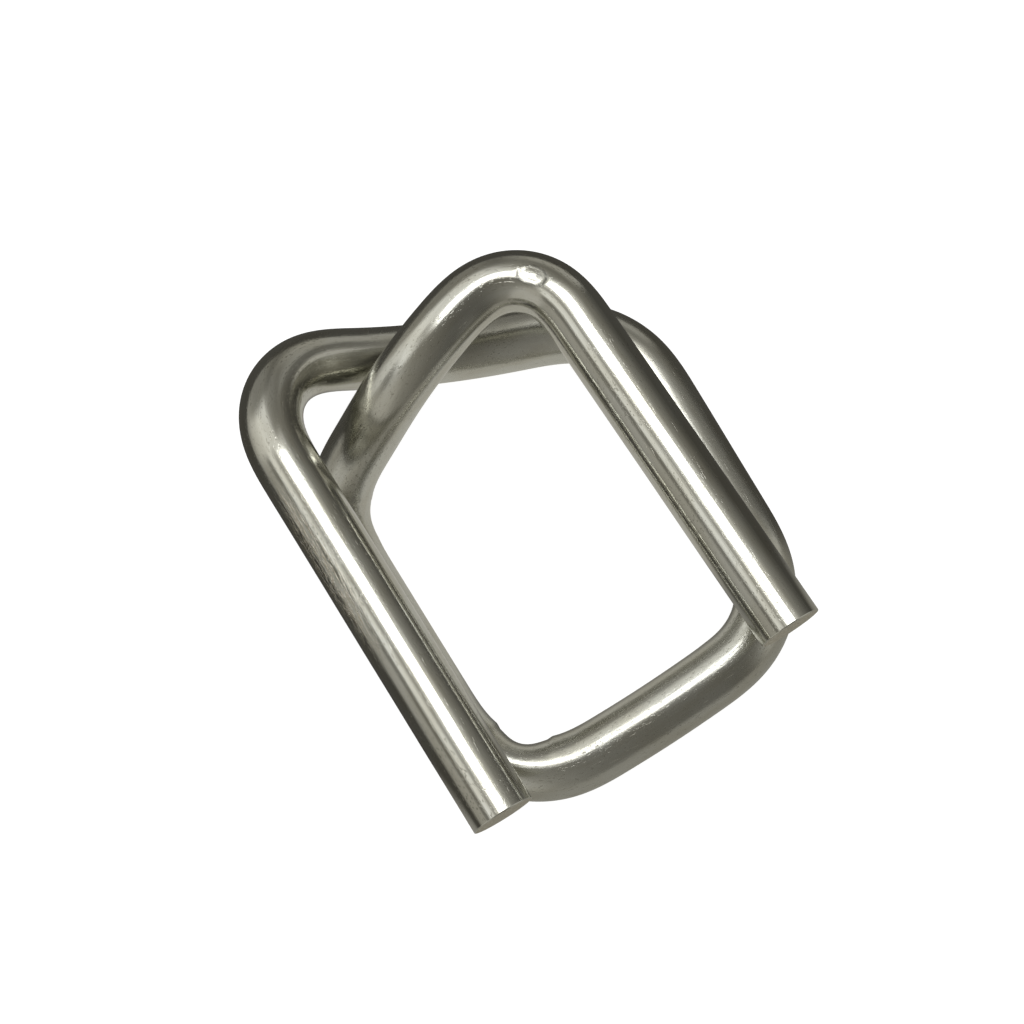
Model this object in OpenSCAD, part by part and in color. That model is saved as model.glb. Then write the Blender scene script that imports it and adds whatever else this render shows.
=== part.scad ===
// Strapping buckle bent from one length of round, zinc-plated steel wire.
// The wire starts at the left prong's free end, runs to the back, crosses down to the right
// lower bar, goes round the front side and the left lower bar, and crosses up to the right
// prong. The two arms at the back pass each other without touching.
// It lies on its lower loop: X is across the bars, -Y is where the prongs point, +Z is up.

/* [Wire] */
// Diameter of the wire along its straight runs
wire_d = 6; // [5:0.1:6.6]
// How much thinner the wire is through a bend, where it is stretched
bend_thinning = 0.06; // [0.04:0.02:0.2]

/* [Strap] */
// Width of the strap that lies between the front side and the arms
strap_w = 25; // [22:0.5:30]
// Room for the strap to move sideways on the lower bars
strap_play = 3.4; // [2:0.2:6]
// Height of the gap that the strap passes through, between a prong and the bar below it
strap_gap = 6; // [5:0.25:8]

/* [Lower loop] */
// Distance between the lower bars, axis to axis, at the front side
lower_span = 32.7; // [30:0.1:37]
// How far the right lower bar leans out towards the back
right_lean = 2.1; // [0:0.1:3]
// How far the left lower bar leans in towards the back
left_lean = 0.7; // [0:0.1:1.5]
// Inside radius of the two front bends
front_bend = 6.4; // [4:0.2:8]
// Inside radius of the right lower bar's back bend
right_back_bend = 7; // [4:0.2:8]
// Inside radius of the left lower bar's back bend
left_back_bend = 4.4; // [3:0.2:6]

/* [Prongs] */
// Distance from the middle to the left prong's axis, at the back
left_prong_x = 15.9; // [14:0.1:18]
// How far the left prong leans out towards its free end
left_prong_lean = 0.8; // [0:0.1:1.5]
// Distance from the middle to the right prong's axis
right_prong_x = 13.8; // [12:0.1:16]
// How far the left prong reaches back past the lower bars
left_reach = 13.7; // [12.5:0.1:15]
// How far the right prong reaches back past the lower bars
right_reach = 8; // [7:0.1:9]
// How far the free ends stand out past the front side's axis
prong_overhang = 2; // [0:0.1:5]
// Inside radius of the left prong's bend
left_prong_bend = 5; // [3:0.2:6]
// Inside radius of the right prong's bend
right_prong_bend = 3.3; // [2:0.1:5]

/* [Crossing arms] */
// Gap between the two arms where they pass each other
arm_gap = 1.5; // [0.5:0.1:2]
// Share of each arm's free length that its bow takes
bow_share = 0.85; // [0.6:0.05:0.9]

/* [Hidden] */
$fn = 96;

zinc_colour = [0.66, 0.65, 0.60];
wire_r = wire_d / 2;
bend_r = wire_r - bend_thinning / 2;
lower_len = strap_w + strap_play + wire_d;
prong_rise = wire_d + strap_gap;
half_span = lower_span / 2;

// Corners of the wire's axis, before they are rounded
left_tip = [-left_prong_x - left_prong_lean, -prong_overhang, prong_rise];
left_top = [-left_prong_x, lower_len + left_reach, prong_rise];
right_low = [half_span + right_lean, lower_len, 0];
right_front = [half_span, 0, 0];
left_front = [-half_span, 0, 0];
left_low = [-half_span + left_lean, lower_len, 0];
right_top = [right_prong_x, lower_len + right_reach, prong_rise];
right_tip = [right_prong_x, -prong_overhang, prong_rise];

// The middle of each arm is set off by the bow: the left arm sags and the right arm rises
function corners(bow) = [
    left_tip,
    left_top,
    (left_top + right_low) / 2 - [0, 0, bow],
    right_low,
    right_front,
    left_front,
    left_low,
    (left_low + right_top) / 2 + [0, 0, bow],
    right_top,
    right_tip
];
left_arm = 2;
right_arm = 7;

// Radius of the axis at each corner, counted from the first corner after the tip. The arms'
// bows have none of their own: they take what length the corners beside them leave.
inside_radii = [
    left_prong_bend,
    undef,
    right_back_bend,
    front_bend,
    front_bend,
    left_back_bend,
    undef,
    right_prong_bend
];

function unit(v) = v / norm(v);
function heading(pts, i) = unit(pts[i + 1] - pts[i]);
function leg(pts, i) = norm(pts[i + 1] - pts[i]);
function turn(pts, i) = acos(heading(pts, i - 1) * heading(pts, i));

// Length that the rounding of corner i takes from each leg beside it
function bend_setback(pts, i) = (inside_radii[i - 1] + wire_r) * tan(turn(pts, i) / 2);
function bow_setback(pts, i) =
    bow_share * min(
        leg(pts, i - 1) - bend_setback(pts, i - 1),
        leg(pts, i) - bend_setback(pts, i + 1)
    );
function setback(pts, i) =
    i == 0 || i == len(pts) - 1 ? 0
    : i == left_arm || i == right_arm ? bow_setback(pts, i)
    : bend_setback(pts, i);
function axis_radius(pts, i) = setback(pts, i) / tan(turn(pts, i) / 2);
function inward(pts, i) = unit(heading(pts, i) - heading(pts, i - 1) * cos(turn(pts, i)));
function bend_axis(pts, i) = cross(heading(pts, i - 1), inward(pts, i));
function run_start(pts, i) = pts[i] + heading(pts, i) * setback(pts, i);
function run_end(pts, i) = pts[i + 1] - heading(pts, i) * setback(pts, i + 1);
function run_length(pts, i) = norm(run_end(pts, i) - run_start(pts, i));
function bend_centre(pts, i) = run_end(pts, i - 1) + inward(pts, i) * axis_radius(pts, i);
function bend_point(pts, i, angle) =
    bend_centre(pts, i)
    + axis_radius(pts, i) * (heading(pts, i - 1) * sin(angle) - inward(pts, i) * cos(angle));

// Points along an arm's axis, and the least distance between the two arms' axes
samples = 12;
function along(a, b) = [for (k = [0 : samples]) a + (b - a) * k / samples];
function arm_points(pts, i) = concat(
    along(run_start(pts, i - 1), run_end(pts, i - 1)),
    [for (k = [0 : samples]) bend_point(pts, i, turn(pts, i) * k / samples)],
    along(run_start(pts, i), run_end(pts, i))
);
function arm_distance(pts) =
    min([for (p = arm_points(pts, left_arm)) for (q = arm_points(pts, right_arm)) norm(p - q)]);

// The bow that lets the arms pass with the stated gap, found by halving the range it lies in
bow_steps = 16;
function bow_between(low, high, steps) =
    let (middle = (low + high) / 2)
    steps == 0 ? middle
    : arm_distance(corners(middle)) < wire_d + arm_gap ? bow_between(middle, high, steps - 1)
    : bow_between(low, middle, steps - 1);
route = corners(bow_between(wire_r, 2 * wire_d, bow_steps));
last_run = len(route) - 2;

// How far the wire reaches from the frame's zero in a direction: at the end of a straight run,
// or on the outside of a bend that turns past that direction
function run_reach(dir, i) =
    max(run_start(route, i) * dir, run_end(route, i) * dir)
    + wire_r * norm(cross(heading(route, i), dir));
function bend_reach(dir, i) =
    let (out = -(inward(route, i) * dir), ahead = heading(route, i - 1) * dir)
    let (at = atan2(ahead, out))
    at < 0 || at > turn(route, i) ? run_reach(dir, i)
    : bend_centre(route, i) * dir + axis_radius(route, i) * norm([out, ahead]) + bend_r;
function reach(dir) = max(
    max([for (i = [0 : last_run]) run_reach(dir, i)]),
    max([for (i = [1 : last_run]) bend_reach(dir, i)])
);
middle_x = (reach([1, 0, 0]) - reach([-1, 0, 0])) / 2;
middle_y = (reach([0, 1, 0]) - reach([0, -1, 0])) / 2;

// Roll about the wire's own axis from one bend's plane to the next one's
function roll(i) =
    let (kept = bend_axis(route, i - 1), aim = inward(route, i))
    atan2(aim * kept, aim * cross(kept, heading(route, i - 1)));

// One bend, starting at zero along +Z and turning towards +X. Its ends run a little way into
// the thicker straight runs beside it.
bend_lap = 0.3;
module bend(radius, angle) {
    lap_angle = bend_lap / radius * 180 / PI;
    translate([radius, 0, 0])
        rotate([90, 0, 180])
            rotate([0, 0, -lap_angle])
                rotate_extrude(angle = angle + 2 * lap_angle)
                    translate([radius, 0])
                        circle(r = bend_r);
}

// Straight run i along +Z, then its bend, then the rest of the wire from there
module wire_from(i) {
    cylinder(d = wire_d, h = run_length(route, i));
    if (i < last_run) {
        radius = axis_radius(route, i + 1);
        angle = turn(route, i + 1);
        translate([0, 0, run_length(route, i)])
            rotate([0, 0, i == 0 ? 0 : roll(i + 1)]) {
                bend(radius, angle);
                translate([radius, 0, 0])
                    rotate([0, angle, 0])
                        translate([-radius, 0, 0])
                            wire_from(i + 1);
            }
    }
}

// The frame's zero is the middle of the buckle's outline, on the surface it lies on
module wire_buckle() {
    ahead = heading(route, 0);
    side = inward(route, 1);
    up = bend_axis(route, 1);
    color(zinc_colour)
        translate([-middle_x, -middle_y, wire_r])
            multmatrix([
                [side.x, up.x, ahead.x, left_tip.x],
                [side.y, up.y, ahead.y, left_tip.y],
                [side.z, up.z, ahead.z, left_tip.z],
                [0, 0, 0, 1]
            ])
                wire_from(0);
}

wire_buckle();
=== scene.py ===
from collections import namedtuple
import math

import bpy
from mathutils import Matrix, Vector, noise


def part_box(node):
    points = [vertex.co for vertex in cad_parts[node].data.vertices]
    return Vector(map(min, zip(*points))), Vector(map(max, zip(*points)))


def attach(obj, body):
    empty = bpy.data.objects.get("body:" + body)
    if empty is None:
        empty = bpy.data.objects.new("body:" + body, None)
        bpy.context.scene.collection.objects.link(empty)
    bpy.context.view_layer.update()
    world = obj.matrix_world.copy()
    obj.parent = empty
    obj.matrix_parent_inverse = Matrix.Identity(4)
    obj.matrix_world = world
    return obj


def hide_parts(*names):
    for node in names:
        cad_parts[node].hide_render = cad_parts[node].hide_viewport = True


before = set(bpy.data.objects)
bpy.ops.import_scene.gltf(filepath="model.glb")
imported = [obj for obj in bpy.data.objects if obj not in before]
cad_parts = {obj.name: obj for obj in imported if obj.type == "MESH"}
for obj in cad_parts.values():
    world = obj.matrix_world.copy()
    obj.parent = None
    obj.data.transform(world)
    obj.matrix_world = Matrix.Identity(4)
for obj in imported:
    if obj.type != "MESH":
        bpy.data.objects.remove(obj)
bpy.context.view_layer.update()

MM = 0.001

# The wire and its loops, in millimetres, as in the part's source. The arms' bow is the one that
# the source works out from the gap between the arms.
WIRE_R = 3.0
LOWER_SPAN = 32.7
LOWER_LEN = 34.4
RIGHT_LEAN = 2.1
LEFT_LEAN = 0.7
PRONG_RISE = 12.0
LEFT_PRONG_X = 15.9
LEFT_PRONG_LEAN = 0.8
RIGHT_PRONG_X = 13.8
LEFT_REACH = 13.7
RIGHT_REACH = 8.0
OVERHANG = 2.0
ARM_BOW = 5.782
BOW_SHARE = 0.85

# Corners and straight runs are counted along the wire from the left prong's free end
INSIDE_RADII = {1: 5.0, 3: 7.0, 4: 6.4, 5: 6.4, 6: 4.4, 8: 3.3}
ARMS = (2, 7)

# Share of the wire's thickness that a bend loses on its inner side, how it grows towards the
# bend's middle and how closely it keeps to the inner side
BEND_FLAT = {3: 0.02, 4: 0.04, 5: 0.13, 6: 0.04, 8: 0.03}
FLAT_RISE = 1.5
FLAT_FOCUS = 1.6

# The left bends show the print of the bending pin: where it starts and ends and how long its edge
# is, as shares of the bend, and its depth at the edge as a share of the depth in its middle
PIN_PRINT = {5: (0.22, 0.80), 6: (0.10, 0.70)}
PIN_EDGE = 0.07
PIN_EDGE_DEPTH = 0.25

# Half the length over which the wire's bends ease into its straight runs, and the front side's bow
EASE = 2.6
FRONT_RUN = 4
FRONT_BOW = 0.16

# A small oval dent on top of the right prong's bend, with a nick in it: places, half length
# along the wire and across it, and depth. Its rim and edge are in shares of the half lengths.
# The nick and the dent's edge are darkened with painted shade, by the share and radius below.
DENT_AT = Vector((11.65, 15.45, 18.0))
NICK_AT = Vector((12.0, 14.9, 17.97))
DENT_HALF = (1.40, 0.85)
DENT_DEPTH = 0.07
DENT_RIM = (1.12, 0.82)
DENT_EDGE = 0.11
# How far painted shade darkens the dent's edge
DENT_EDGE_SHADE = 0.95
NICK_R = 0.30

# How far from a free end the bright prongs turn into the satin finish of the worked loop
BRIGHT_TO = 30.0
SATIN_FROM = 75.0

# Mesh density, and the wire's slight unevenness
RING_STEP = 0.28
AROUND = 96
WAVE_HEIGHT = 0.012
WAVE_AROUND = 2.2
WAVE_ALONG = 7.0

# Free ends: the edge's rounding, rings close beside it that keep the shading of the sides even,
# and the face's slight dome
EDGE_ROUND = 0.09
EDGE_LEAD = 0.03
EDGE_RINGS = 4
FACE_RINGS = 6
FACE_DOME = 0.03

# The cut leans out by this much for each millimetre of height above a line below the axis
END_SLANT = 0.055
END_DROP = 2.0

# Grain of the finish: size round the wire and along it in millimetres, detail and roughness
GRAIN = {
    "draw": (0.20, 16.0, 4.0, 0.65),
    "pits": (0.20, 0.36, 2.0, 0.6),
    "pit_patches": (2.4, 9.0, 3.0, 0.55),
    "mottle": (0.60, 1.20, 2.0, 0.5),
    "tint": (1.6, 6.0, 2.0, 0.5),
    "torn": (0.25, 1.0, 3.0, 0.6),
    "scuffs": (0.12, 4.0, 3.0, 0.6),
}

# Levels of the grain between which its marks set in
DRAW_FROM = (0.30, 0.70)
TINT_FROM = (0.35, 0.65)
PIT_FROM = (0.57, 0.70)
PIT_PATCH_FROM = (0.38, 0.60)
PIT_LEAST = 0.25

# Scuffed patch on the outer side of the left prong: its place on the unbent wire, its reach and
# where it fades, as shares of the reach. Scuffs are thick there and thin elsewhere.
SCUFF_AT = (2.2, -2.0, 27.0)
SCUFF_REACH = (1.8, 1.5, 11.0)
SCUFF_FADE = (0.4, 1.1)
SCUFF_THICK = (0.50, 0.57)
SCUFF_THIN = (0.66, 0.74)
SCUFF_THIN_SHARE = 0.4
SCUFF_TURN = 5

# Colours of the plate, of the bare cut faces, and of the marks with the share that they cover.
# The last mark is painted shade in the nick and along the dent's edge.
PLATE_COLOURS = ((0.655, 0.658, 0.612), (0.595, 0.588, 0.525))
BARE_COLOURS = ((0.80, 0.78, 0.68), (0.56, 0.53, 0.44))
MARK_COLOURS = (
    ("pits", 0.45, (0.26, 0.25, 0.20)),
    ("scuffs", 0.80, (0.70, 0.65, 0.54)),
    # Painted shade in the nick and along the dent's edge
    ("nick", 0.95, (0.05, 0.048, 0.042)),
)

# Roughness of the drawn wire, and what each mark adds to it
DRAW_ROUGH = (0.06, 0.12)
MARK_ROUGH = (("scuffs", 0.14), ("pits", 0.12), ("satin", 0.14), ("cut", 0.48))

# Heights of the marks in metres, the pits' share of the scuffs' height and the mottle's share on
# the bright prongs
DRAW_HEIGHT = 0.000006
MOTTLE_HEIGHT = 0.000015
SCUFF_HEIGHT = 0.000014
PIT_SHARE = 0.35
MOTTLE_LEAST = 0.06

# Brightness of the room that the metal mirrors, by the angle across the bars from straight up,
# in degrees: beside the buckle, and behind it
ROOM_ACROSS = (
    (-100, 0.06), (-90, 0.12), (-80, 0.38), (-60, 0.44), (-52, 0.20), (-45, 0.26), (-39, 1.0),
    (-29, 0.95), (-19, 0.36), (-9, 0.9), (25, 0.75), (32, 0.68), (40, 0.38),
    (47, 0.27), (60, 0.20), (78, 0.11), (90, 0.09),
)
ROOM_BEHIND = (
    (-100, 0.25), (-85, 0.36), (-70, 0.62), (-45, 0.78), (-25, 0.98), (-8, 0.84), (8, 0.86),
    (20, 0.36), (35, 0.26), (54, 0.20), (70, 0.38), (90, 0.42),
)

# The room's front and far back, by how far to the right they lie, in hundredths of its radius
ROOM_FRONT = (
    (-100, 0.56), (-66, 0.50), (-46, 0.29), (-30, 0.25), (-10, 0.19), (25, 0.11), (42, 0.22),
    (58, 0.50), (100, 0.56),
)
ROOM_BACK = (
    (-100, 0.45), (-50, 0.34), (-20, 0.26), (12, 0.25), (32, 0.16), (60, 0.36), (100, 0.42),
)

# The room's radius in metres, and how far back each of its parts turns into the next one
ROOM_R = 1.0
FRONT_TO_SIDES = (-0.04, 0.12)
SIDES_TO_BEHIND = (0.36, 0.46)
BEHIND_TO_BACK = (0.70, 0.86)
ROOM_STEPS = 32
ROOM_ROWS = 10

# Tint of the mirrored room and ground where they are dark and where they are pale
DARK_TINT = (1.0, 0.955, 0.83)
PALE_TINT = (1.0, 0.99, 0.94)

# Brightness of the ground that the metal mirrors: under the loop, in front of it, and elsewhere.
# Places are in metres. The loop's half size has no limit in height.
GROUND_IN = 0.50
GROUND_FRONT = 0.32
GROUND_OUT = 0.075
GROUND_Z = -0.0005
GROUND_TURN = (-0.022, -0.012)
LOOP_MIDDLE = (0.0, 0.004, 0.0)
LOOP_HALF = (0.017, 0.018, math.inf)
LOOP_FADE = (0.8, 1.3)

# Floor: its width in metres, what it glows to the camera, and its own colour
FLOOR_SIZE = 4.0
FLOOR_GLOW = 0.90
FLOOR_SHADE = (0.55, 0.55, 0.54, 1.0)

# Light: the world's plain level, and a softbox above and behind with its place and size in metres
WORLD_LIGHT = 0.35
SOFTBOX_AT = Vector((0.098, 0.145, 0.60))
SOFTBOX_SIZE = (0.345, 0.20)
SOFTBOX_WATTS = 0.51

# The view of the photo, in millimetres and degrees
CAMERA_AT = Vector((-12.99, -59.49, 239.56))
CAMERA_AIM = Vector((-1.530, -0.143, 9.0))
CAMERA_ROLL = -22.26
CAMERA_LENS = 89.634
SENSOR = 36.0
CAMERA_CLIP = (0.01, 20.0)

# A place along the wire's axis, and a cross-section there with its place on the unbent wire
Station = namedtuple("Station", "place inward flat")
Ring = namedtuple("Ring", "place way up across inward flat at")


def corner_points():
    """Corners of the wire's axis from the left prong's free end to the right one's."""
    half = LOWER_SPAN / 2
    left_top = Vector((-LEFT_PRONG_X, LOWER_LEN + LEFT_REACH, PRONG_RISE))
    right_low = Vector((half + RIGHT_LEAN, LOWER_LEN, 0))
    left_low = Vector((-half + LEFT_LEAN, LOWER_LEN, 0))
    right_top = Vector((RIGHT_PRONG_X, LOWER_LEN + RIGHT_REACH, PRONG_RISE))
    bow = Vector((0, 0, ARM_BOW))
    return [
        Vector((-LEFT_PRONG_X - LEFT_PRONG_LEAN, -OVERHANG, PRONG_RISE)),
        left_top,
        (left_top + right_low) / 2 - bow,
        right_low,
        Vector((half, 0, 0)),
        Vector((-half, 0, 0)),
        left_low,
        (left_low + right_top) / 2 + bow,
        right_top,
        Vector((RIGHT_PRONG_X, -OVERHANG, PRONG_RISE)),
    ]


def headings(corners):
    return [(b - a).normalized() for a, b in zip(corners, corners[1:])]


def bend_setbacks(corners, ways):
    """Each corner's turn, the length its rounding takes from the legs, and its axis radius."""
    turns = {i: ways[i - 1].angle(ways[i]) for i in range(1, len(corners) - 1)}
    legs = [(b - a).length for a, b in zip(corners, corners[1:])]
    back = {i: (r + WIRE_R) * math.tan(turns[i] / 2) for i, r in INSIDE_RADII.items()}
    for i in ARMS:
        back[i] = BOW_SHARE * min(legs[i - 1] - back[i - 1], legs[i] - back[i + 1])
    radii = {i: back[i] / math.tan(turns[i] / 2) for i in turns}
    return turns, back, radii


def wire_stations():
    """Stations along the wire's straight runs and bends."""
    corners = corner_points()
    ways = headings(corners)
    turns, back, radii = bend_setbacks(corners, ways)
    back = {0: 0.0, len(corners) - 1: 0.0, **back}
    stations = []
    for i, way in enumerate(ways):
        start = corners[i] + way * back[i]
        end = corners[i + 1] - way * back[i + 1]
        last = i == len(ways) - 1
        stations += run_stations(start, end, FRONT_BOW if i == FRONT_RUN else 0.0, last)
        if not last:
            stations += bend_stations(end, way, ways[i + 1], radii[i + 1], turns[i + 1], i + 1)
    return stations


def run_stations(start, end, bow, with_end):
    """A straight run, bowed to the front. Its end is left to the bend that follows, if any."""
    count = max(1, round((end - start).length / RING_STEP))
    stations = []
    for k in range(count + (1 if with_end else 0)):
        place = start.lerp(end, k / count)
        place += Vector((0, -bow, 0)) * math.sin(math.pi * k / count)
        stations.append(Station(place, None, 0.0))
    return stations


def bend_stations(start, way, next_way, radius, turn, corner):
    inward = (next_way - way * math.cos(turn)).normalized()
    centre = start + inward * radius
    count = max(4, round(radius * turn / RING_STEP))
    stations = []
    for k in range(count):
        a = turn * k / count
        place = centre + radius * (way * math.sin(a) - inward * math.cos(a))
        to_centre = inward * math.cos(a) - way * math.sin(a)
        stations.append(Station(place, to_centre, bend_flat(corner, k / count)))
    return stations


def bend_flat(corner, share):
    """Flattening of a bend's inner side at that share of its turn."""
    depth = BEND_FLAT.get(corner, 0.0)
    if corner not in PIN_PRINT:
        return depth * math.sin(math.pi * share) ** FLAT_RISE
    start, end = PIN_PRINT[corner]
    print_share = smooth(start, start + PIN_EDGE, share) * smooth(end, end - PIN_EDGE, share)
    middle = math.sin(math.pi * (share - start) / (end - start)) if start < share < end else 0.0
    return depth * print_share * (PIN_EDGE_DEPTH + (1 - PIN_EDGE_DEPTH) * middle ** 2)


def eased(stations):
    """The same stations with each place averaged over its neighbours, and the ends kept."""
    reach = round(EASE / RING_STEP)
    result = []
    for k, station in enumerate(stations):
        half = min(reach, k, len(stations) - 1 - k)
        near = stations[k - half:k + half + 1]
        middle = sum((s.place for s in near), Vector()) / len(near)
        result.append(station._replace(place=middle))
    return result


def frame_shift():
    """From the corners' own zero to the row frame, read from the CAD node's box."""
    low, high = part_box("wire_buckle")
    corners = corner_points()
    way = (corners[1] - corners[0]).normalized()
    left = corners[0].x - WIRE_R * abs(way.y)
    return Vector((low[0] / MM - left, low[1] / MM + WIRE_R, low[2] / MM + WIRE_R))


def wire_rings():
    """The wire's cross-sections in the row frame, with a direction that stays up along them."""
    stations = eased(wire_stations())
    shift = frame_shift()
    up = Vector((0, 0, 1))
    at = 0.0
    rings = []
    for k, station in enumerate(stations):
        before = stations[max(0, k - 1)].place
        after = stations[min(k + 1, len(stations) - 1)].place
        way = (after - before).normalized()
        at += (station.place - before).length
        up = (up - way * up.dot(way)).normalized()
        place = station.place + shift
        rings.append(Ring(place, way, up, way.cross(up), station.inward, station.flat, at))
    return rings


def ring_radius(side, ring, straight):
    """Radius of the wire at one point of a ring, with bend flattening and unevenness."""
    radius = WIRE_R
    if ring.inward is not None:
        lean = max(0.0, side.dot(ring.inward))
        radius -= 2 * WIRE_R * ring.flat * lean ** FLAT_FOCUS
    spot = Vector((straight.x / WAVE_AROUND, straight.y / WAVE_AROUND, straight.z / WAVE_ALONG))
    return radius + WAVE_HEIGHT * noise.noise(spot)


def smooth(low, high, value):
    """0 at low, 1 at high and a smooth rise between; low may be the larger one."""
    share = min(1.0, max(0.0, (value - low) / (high - low)))
    return share * share * (3 - 2 * share)


def dent_reach(point, way):
    """How far out from the dent's middle a point lies: 1 on its edge."""
    away = point - DENT_AT
    along = away.dot(way)
    across = (away - way * along).length
    return math.hypot(along / DENT_HALF[0], across / DENT_HALF[1])


def dent_share(point, way):
    """1 on the dent's floor, 0 outside it."""
    return smooth(*DENT_RIM, dent_reach(point, way))


def nick_share(point, way):
    """Painted shade in the nick in the dent and along the dent's edge."""
    nick = math.exp(-((point - NICK_AT).length / NICK_R) ** 2)
    edge = math.exp(-((dent_reach(point, way) - 1) / DENT_EDGE) ** 2)
    return max(nick, DENT_EDGE_SHADE * edge)


def end_rings():
    """Insets (along the axis, from the rim) that round a free end over and close its face."""
    rings = [(-EDGE_LEAD, 0.0), (0.0, 0.0)]
    for k in range(1, EDGE_RINGS + 1):
        a = math.pi / 2 * k / EDGE_RINGS
        rings.append((EDGE_ROUND * math.sin(a), EDGE_ROUND * (1 - math.cos(a))))
    rings.append((EDGE_ROUND, EDGE_ROUND + EDGE_LEAD))
    for k in range(1, FACE_RINGS):
        share = k / FACE_RINGS
        inset = EDGE_ROUND + (WIRE_R - EDGE_ROUND) * share
        rings.append((EDGE_ROUND + FACE_DOME * (1 - (1 - share) ** 2), inset))
    return rings


class WireShape:
    """The tube's points and faces as they are added, with each point's finish and painted shade."""

    def __init__(self, length):
        self.length = length
        self.points = []
        self.faces = []
        self.unbent = []
        # The second share is painted shade in the nick and along the dent's edge.
        self.shares = {"satin": [], "nick": [], "cut": []}

    def add_point(self, point, unbent, **shares):
        self.points.append(point * MM)
        self.unbent.append(unbent)
        for name, value in shares.items():
            self.shares[name].append(value)

    def add_ring(self, ring, along=0.0, inset=0.0, slant=0.0):
        """Points round the wire, moved along it, drawn in from its rim and leaned with height."""
        from_end = min(ring.at, self.length - ring.at)
        satin = smooth(BRIGHT_TO, SATIN_FROM, from_end)
        cut = 1.0 if inset >= EDGE_ROUND else 0.0
        for j in range(AROUND):
            a = 2 * math.pi * j / AROUND
            side = ring.up * math.cos(a) + ring.across * math.sin(a)
            rim = Vector((WIRE_R * math.cos(a), WIRE_R * math.sin(a), ring.at + along))
            radius = ring_radius(side, ring, rim) * (1 - inset / WIRE_R)
            lean = slant * (radius * side.z + END_DROP)
            point = ring.place + ring.way * (along + lean) + side * radius
            point -= side * DENT_DEPTH * dent_share(point, ring.way)
            unbent = (rim.x * radius / WIRE_R, rim.y * radius / WIRE_R, rim.z)
            # Each point keeps its share of painted shade from the nick and the dent's edge.
            self.add_point(point, unbent, satin=satin, nick=nick_share(point, ring.way), cut=cut)

    def join_rings(self):
        for first in range(0, len(self.points) - AROUND, AROUND):
            for j in range(AROUND):
                a, b = first + j, first + (j + 1) % AROUND
                self.faces.append((a, b, b + AROUND, a + AROUND))

    def close_end(self, ring, first, slant):
        """Fan from the middle of a cut face to the points from first on."""
        centre = len(self.points)
        middle = ring.place + ring.way * (slant * END_DROP)
        self.add_point(middle, (0.0, 0.0, ring.at), satin=0.0, nick=0.0, cut=1.0)
        for j in range(AROUND):
            a, b = first + j, first + (j + 1) % AROUND
            self.faces.append((a, b, centre) if slant > 0 else (b, a, centre))


def wire_shape():
    """One closed tube along the wire."""
    rings = wire_rings()
    start, end = rings[0], rings[-1]
    shape = WireShape(end.at)
    insets = end_rings()
    depth = insets[-1][0]
    for along, inset in reversed(insets):
        shape.add_ring(start, depth - along, inset, -END_SLANT)
    for ring in rings[1:-1]:
        if depth < ring.at < end.at - depth:
            shape.add_ring(ring)
    for along, inset in insets:
        shape.add_ring(end, along - depth, inset, END_SLANT)
    shape.join_rings()
    last_ring = len(shape.points) - AROUND
    shape.close_end(start, 0, -END_SLANT)
    shape.close_end(end, last_ring, END_SLANT)
    return shape


def add_object(name, data):
    obj = bpy.data.objects.new(name, data)
    bpy.context.collection.objects.link(obj)
    return obj


def build_wire():
    shape = wire_shape()
    mesh = bpy.data.meshes.new("plated_wire")
    mesh.from_pydata(shape.points, [], shape.faces)
    mesh.polygons.foreach_set("use_smooth", [True] * len(mesh.polygons))
    layer = mesh.attributes.new("unbent", "FLOAT_VECTOR", "POINT")
    layer.data.foreach_set("vector", [c for v in shape.unbent for c in v])
    for name, values in shape.shares.items():
        layer = mesh.attributes.new(name, "FLOAT", "POINT")
        layer.data.foreach_set("value", values)
    mesh.update()
    return add_object("plated_wire", mesh)


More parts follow.
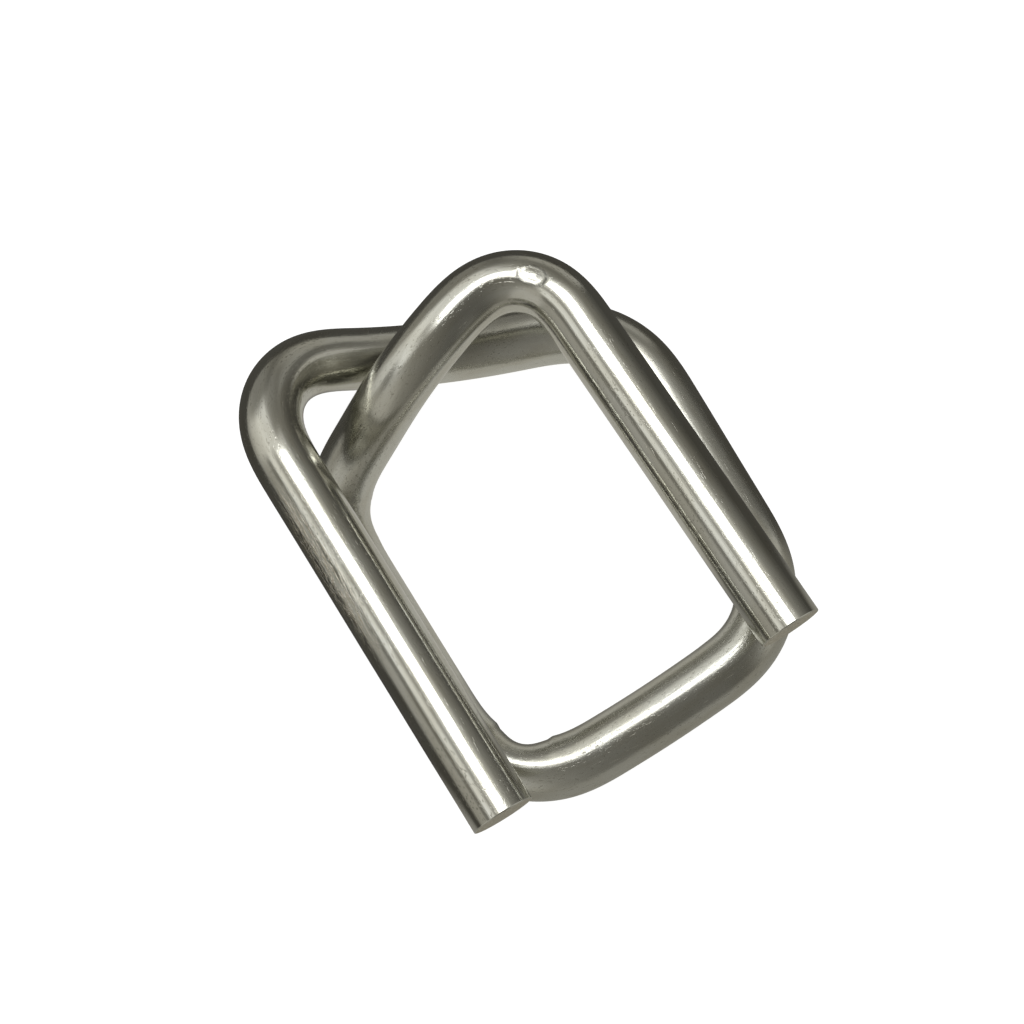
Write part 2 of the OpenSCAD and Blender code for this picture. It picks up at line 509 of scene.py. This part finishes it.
class Nodes:
    """Shorthand for adding and joining a material's nodes."""

    def __init__(self, tree):
        self.tree = tree

    def add(self, kind, **settings):
        node = self.tree.nodes.new(kind)
        for key, value in settings.items():
            setattr(node, key, value)
        return node

    def link(self, source, target):
        self.tree.links.new(source, target)

    def value(self, socket, source):
        if isinstance(source, (int, float)):
            socket.default_value = source
        else:
            self.link(source, socket)

    def math(self, operation, a, b=0.0):
        node = self.add("ShaderNodeMath", operation=operation)
        self.value(node.inputs[0], a)
        self.value(node.inputs[1], b)
        return node.outputs[0]

    def position(self):
        return self.add("ShaderNodeNewGeometry").outputs["Position"]

    def split(self, vector):
        node = self.add("ShaderNodeSeparateXYZ")
        self.link(vector, node.inputs[0])
        return node.outputs["X"], node.outputs["Y"], node.outputs["Z"]

    def scaled(self, vector, sizes):
        """The vector divided by a size along each axis."""
        node = self.add("ShaderNodeVectorMath", operation="MULTIPLY")
        self.link(vector, node.inputs[0])
        node.inputs[1].default_value = tuple(1 / size for size in sizes)
        return node.outputs[0]

    def reach(self, vector, middle, half):
        """How far from a middle a place lies: 1 at the half size along each axis."""
        away = self.add("ShaderNodeVectorMath", operation="SUBTRACT")
        self.link(vector, away.inputs[0])
        away.inputs[1].default_value = middle
        length = self.add("ShaderNodeVectorMath", operation="LENGTH")
        self.link(self.scaled(away.outputs[0], half), length.inputs[0])
        return length.outputs["Value"]

    def grain(self, place, name):
        around, along, detail, rough = GRAIN[name]
        node = self.add("ShaderNodeTexNoise")
        self.link(self.scaled(place, (around, around, along)), node.inputs["Vector"])
        node.inputs["Scale"].default_value = 1.0
        node.inputs["Detail"].default_value = detail
        node.inputs["Roughness"].default_value = rough
        return node.outputs["Fac"]

    def ramp(self, source, low, high, to_low=0.0, to_high=1.0):
        node = self.add("ShaderNodeMapRange", interpolation_type="SMOOTHSTEP")
        self.link(source, node.inputs["Value"])
        node.inputs["From Min"].default_value = low
        node.inputs["From Max"].default_value = high
        node.inputs["To Min"].default_value = to_low
        node.inputs["To Max"].default_value = to_high
        return node.outputs["Result"]

    def mix(self, share, first, second):
        """Colour that goes from first to second; each is a colour or another node's output."""
        node = self.add("ShaderNodeMix", data_type="RGBA")
        self.link(share, node.inputs[0])
        for socket, colour in ((node.inputs[6], first), (node.inputs[7], second)):
            if isinstance(colour, tuple):
                socket.default_value = (*colour, 1.0)
            else:
                self.link(colour, socket)
        return node.outputs[2]


def scuff_mask(nodes, place):
    """Fine slanting scratches, thick on the left prong's scuffed patch and thin elsewhere."""
    patch = nodes.ramp(nodes.reach(place, SCUFF_AT, SCUFF_REACH), *SCUFF_FADE, 1.0, 0.0)
    turned = nodes.add("ShaderNodeVectorRotate", rotation_type="X_AXIS")
    nodes.link(place, turned.inputs["Vector"])
    turned.inputs["Angle"].default_value = math.radians(SCUFF_TURN)
    lines = nodes.grain(turned.outputs[0], "scuffs")
    thick = nodes.math("MULTIPLY", nodes.ramp(lines, *SCUFF_THICK), patch)
    return nodes.math("MAXIMUM", thick, nodes.ramp(lines, *SCUFF_THIN, 0.0, SCUFF_THIN_SHARE))


def finish_marks(nodes):
    """What the finish is made of, with painted shade: shares kept in the mesh, grain, pits and scuffs.
    """
    place = nodes.add("ShaderNodeAttribute", attribute_name="unbent").outputs["Vector"]
    marks = {}
    # The second of these shares is painted shade in the nick and along the dent's edge.
    for name in ("satin", "nick", "cut"):
        marks[name] = nodes.add("ShaderNodeAttribute", attribute_name=name).outputs["Fac"]
    for name in ("draw", "mottle", "tint", "torn"):
        marks[name] = nodes.grain(place, name)
    pits = nodes.ramp(nodes.grain(place, "pits"), *PIT_FROM)
    patches = nodes.ramp(nodes.grain(place, "pit_patches"), *PIT_PATCH_FROM, PIT_LEAST, 1.0)
    marks["pits"] = nodes.math("MULTIPLY", pits, patches)
    marks["scuffs"] = scuff_mask(nodes, place)
    return marks


def plate_colour(nodes, marks):
    colour = nodes.mix(nodes.ramp(marks["tint"], *TINT_FROM), *PLATE_COLOURS)
    # One of the marks' colours is painted shade in the nick and along the dent's edge.
    for name, share, mark_colour in MARK_COLOURS:
        colour = nodes.mix(nodes.math("MULTIPLY", marks[name], share), colour, mark_colour)
    bare = nodes.mix(nodes.ramp(marks["torn"], *TINT_FROM), *BARE_COLOURS)
    return nodes.mix(marks["cut"], colour, bare)


def plate_roughness(nodes, marks):
    rough = nodes.ramp(marks["draw"], *DRAW_FROM, *DRAW_ROUGH)
    for name, added in MARK_ROUGH:
        rough = nodes.math("ADD", rough, nodes.math("MULTIPLY", marks[name], added))
    return rough


def plate_normal(nodes, marks):
    """Draw marks, mottle on the satin parts, and scuffs and pits, as heights on the surface."""
    satin = nodes.ramp(marks["satin"], 0.0, 1.0, MOTTLE_LEAST, 1.0)
    mottle = nodes.math("MULTIPLY", marks["mottle"], satin)
    pits = nodes.math("MULTIPLY", marks["pits"], PIT_SHARE)
    worn = nodes.math("SUBTRACT", marks["scuffs"], pits)
    heights = ((marks["draw"], DRAW_HEIGHT), (mottle, MOTTLE_HEIGHT), (worn, SCUFF_HEIGHT))
    normal = None
    for height, depth in heights:
        bump = nodes.add("ShaderNodeBump")
        bump.inputs["Strength"].default_value = 1.0
        bump.inputs["Distance"].default_value = depth
        nodes.link(height, bump.inputs["Height"])
        if normal:
            nodes.link(normal, bump.inputs["Normal"])
        normal = bump.outputs["Normal"]
    return normal


def zinc_material():
    """Bright zinc plate on drawn wire: draw marks, fine pits, scuffs and a faint olive tint."""
    material = bpy.data.materials.new("zinc_plate")
    material.use_nodes = True
    nodes = Nodes(material.node_tree)
    shader = material.node_tree.nodes["Principled BSDF"]
    marks = finish_marks(nodes)
    # The colour carries painted shade in the nick and along the dent's edge.
    nodes.link(plate_colour(nodes, marks), shader.inputs["Base Color"])
    nodes.link(plate_roughness(nodes, marks), shader.inputs["Roughness"])
    nodes.link(plate_normal(nodes, marks), shader.inputs["Normal"])
    shader.inputs["Metallic"].default_value = 1.0
    return material


def only_reflected(obj):
    """The object shows in reflections alone, and neither lights nor shades anything else."""
    obj.visible_camera = False
    obj.visible_diffuse = False
    obj.visible_shadow = False
    obj.visible_transmission = False
    obj.visible_volume_scatter = False


def emission_material(name):
    material = bpy.data.materials.new(name)
    material.use_nodes = True
    material.node_tree.nodes.clear()
    nodes = Nodes(material.node_tree)
    output = nodes.add("ShaderNodeOutputMaterial")
    glow = nodes.add("ShaderNodeEmission")
    nodes.link(glow.outputs[0], output.inputs["Surface"])
    return material, nodes, glow, output


def tinted(level):
    """A grey of that brightness, browner where it is darker."""
    share = min(1.0, level)
    return tuple(level * (d + (p - d) * share) for d, p in zip(DARK_TINT, PALE_TINT))


def level_ramp(nodes, share, levels):
    """Colours for levels set by their places, of which share goes from the first to the last."""
    node = nodes.add("ShaderNodeValToRGB")
    stops = node.color_ramp.elements
    while len(stops) < len(levels):
        stops.new(1.0)
    first, last = levels[0][0], levels[-1][0]
    for stop, (place, level) in zip(stops, levels):
        stop.position = (place - first) / (last - first)
        stop.color = (*tinted(level), 1.0)
    nodes.link(share, node.inputs[0])
    return node.outputs["Color"]


def room_colour(nodes):
    """The room's levels from front to back: front, sides, what is behind, and far back."""
    across, depth, height = nodes.split(nodes.position())
    angle = nodes.math("ARCTAN2", across, height)
    first, last = math.radians(ROOM_ACROSS[0][0]), math.radians(ROOM_ACROSS[-1][0])
    turned = nodes.math("MULTIPLY", nodes.math("ADD", angle, -first), 1 / (last - first))
    right = nodes.math("MULTIPLY", nodes.math("ADD", across, ROOM_R), 0.5 / ROOM_R)
    front = level_ramp(nodes, right, ROOM_FRONT)
    sides = level_ramp(nodes, turned, ROOM_ACROSS)
    behind = level_ramp(nodes, turned, ROOM_BEHIND)
    back = level_ramp(nodes, right, ROOM_BACK)
    colour = nodes.mix(nodes.ramp(depth, *FRONT_TO_SIDES), front, sides)
    colour = nodes.mix(nodes.ramp(depth, *SIDES_TO_BEHIND), colour, behind)
    return nodes.mix(nodes.ramp(depth, *BEHIND_TO_BACK), colour, back)


def dome_shape():
    """Half a ball, open below."""
    verts = []
    for row in range(ROOM_ROWS):
        up = math.pi / 2 * row / ROOM_ROWS
        for k in range(ROOM_STEPS):
            a = 2 * math.pi * k / ROOM_STEPS
            flat = ROOM_R * math.cos(up)
            verts.append((flat * math.cos(a), flat * math.sin(a), ROOM_R * math.sin(up)))
    verts.append((0, 0, ROOM_R))
    faces = []
    for row in range(ROOM_ROWS):
        for k in range(ROOM_STEPS):
            a, b = row * ROOM_STEPS + k, row * ROOM_STEPS + (k + 1) % ROOM_STEPS
            top_row = row == ROOM_ROWS - 1
            faces.append((a, b, len(verts) - 1) if top_row else (a, b, b + ROOM_STEPS, a + ROOM_STEPS))
    return verts, [], faces


def room_dome():
    """The room round the buckle, seen only in the metal."""
    mesh = bpy.data.meshes.new("room")
    mesh.from_pydata(*dome_shape())
    dome = add_object("room", mesh)
    material, nodes, glow, _ = emission_material("room_walls")
    nodes.link(room_colour(nodes), glow.inputs["Color"])
    mesh.materials.append(material)
    only_reflected(dome)


def flat_square(name, height):
    half = FLOOR_SIZE / 2
    corners = [(x * half, y * half, height) for x, y in ((-1, -1), (1, -1), (1, 1), (-1, 1))]
    mesh = bpy.data.meshes.new(name)
    mesh.from_pydata(corners, [], [(0, 1, 2, 3)])
    return add_object(name, mesh)


def ground():
    """What the metal mirrors below it: pale under the loop and in front, dark elsewhere."""
    plane = flat_square("ground", GROUND_Z)
    material, nodes, glow, _ = emission_material("ground_shade")
    place = nodes.position()
    _, depth, _ = nodes.split(place)
    front = nodes.ramp(depth, *GROUND_TURN)
    around = nodes.mix(front, tinted(GROUND_FRONT), tinted(GROUND_OUT))
    outside = nodes.ramp(nodes.reach(place, LOOP_MIDDLE, LOOP_HALF), *LOOP_FADE)
    nodes.link(nodes.mix(outside, tinted(GROUND_IN), around), glow.inputs["Color"])
    plane.data.materials.append(material)
    only_reflected(plane)


def floor():
    """Pale floor: white to the camera, with the buckle's soft shadow left on it."""
    plane = flat_square("floor", 0.0)
    material, nodes, glow, output = emission_material("floor_white")
    seen = nodes.add("ShaderNodeLightPath").outputs["Is Camera Ray"]
    nodes.link(nodes.math("MULTIPLY", seen, FLOOR_GLOW), glow.inputs["Strength"])
    matt = nodes.add("ShaderNodeBsdfDiffuse")
    matt.inputs["Color"].default_value = FLOOR_SHADE
    both = nodes.add("ShaderNodeAddShader")
    nodes.link(glow.outputs[0], both.inputs[0])
    nodes.link(matt.outputs[0], both.inputs[1])
    nodes.link(both.outputs[0], output.inputs["Surface"])
    plane.data.materials.append(material)
    plane.visible_glossy = False


def white_world():
    """White to the camera and in the metal, and a plain level of light otherwise."""
    world = bpy.data.worlds.new("white")
    bpy.context.scene.world = world
    world.use_nodes = True
    nodes = Nodes(world.node_tree)
    back = world.node_tree.nodes["Background"]
    back.inputs["Color"].default_value = (1.0, 1.0, 1.0, 1.0)
    path = nodes.add("ShaderNodeLightPath")
    seen = nodes.math("MAXIMUM", path.outputs["Is Camera Ray"], path.outputs["Is Glossy Ray"])
    seen = nodes.math("MAXIMUM", seen, path.outputs["Is Transmission Ray"])
    nodes.link(nodes.ramp(seen, 0.0, 1.0, WORLD_LIGHT, 1.0), back.inputs["Strength"])


def softbox():
    light = bpy.data.lights.new("softbox", "AREA")
    light.shape = "RECTANGLE"
    light.size, light.size_y = SOFTBOX_SIZE
    light.energy = SOFTBOX_WATTS
    add_object("softbox", light).location = SOFTBOX_AT


def camera():
    data = bpy.data.cameras.new("camera")
    data.lens = CAMERA_LENS
    data.sensor_width = SENSOR
    data.clip_start, data.clip_end = CAMERA_CLIP
    cam = add_object("camera", data)
    turn = (CAMERA_AIM - CAMERA_AT).to_track_quat("-Z", "Y").to_matrix().to_4x4()
    roll = Matrix.Rotation(math.radians(CAMERA_ROLL), 4, "Z")
    cam.matrix_world = Matrix.Translation(CAMERA_AT * MM) @ turn @ roll
    bpy.context.scene.camera = cam


wire = build_wire()
wire.data.materials.append(zinc_material())
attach(wire, "root")
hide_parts("wire_buckle")
floor()
ground()
room_dome()
white_world()
softbox()
camera()
bpy.context.scene.view_settings.view_transform = "Standard"
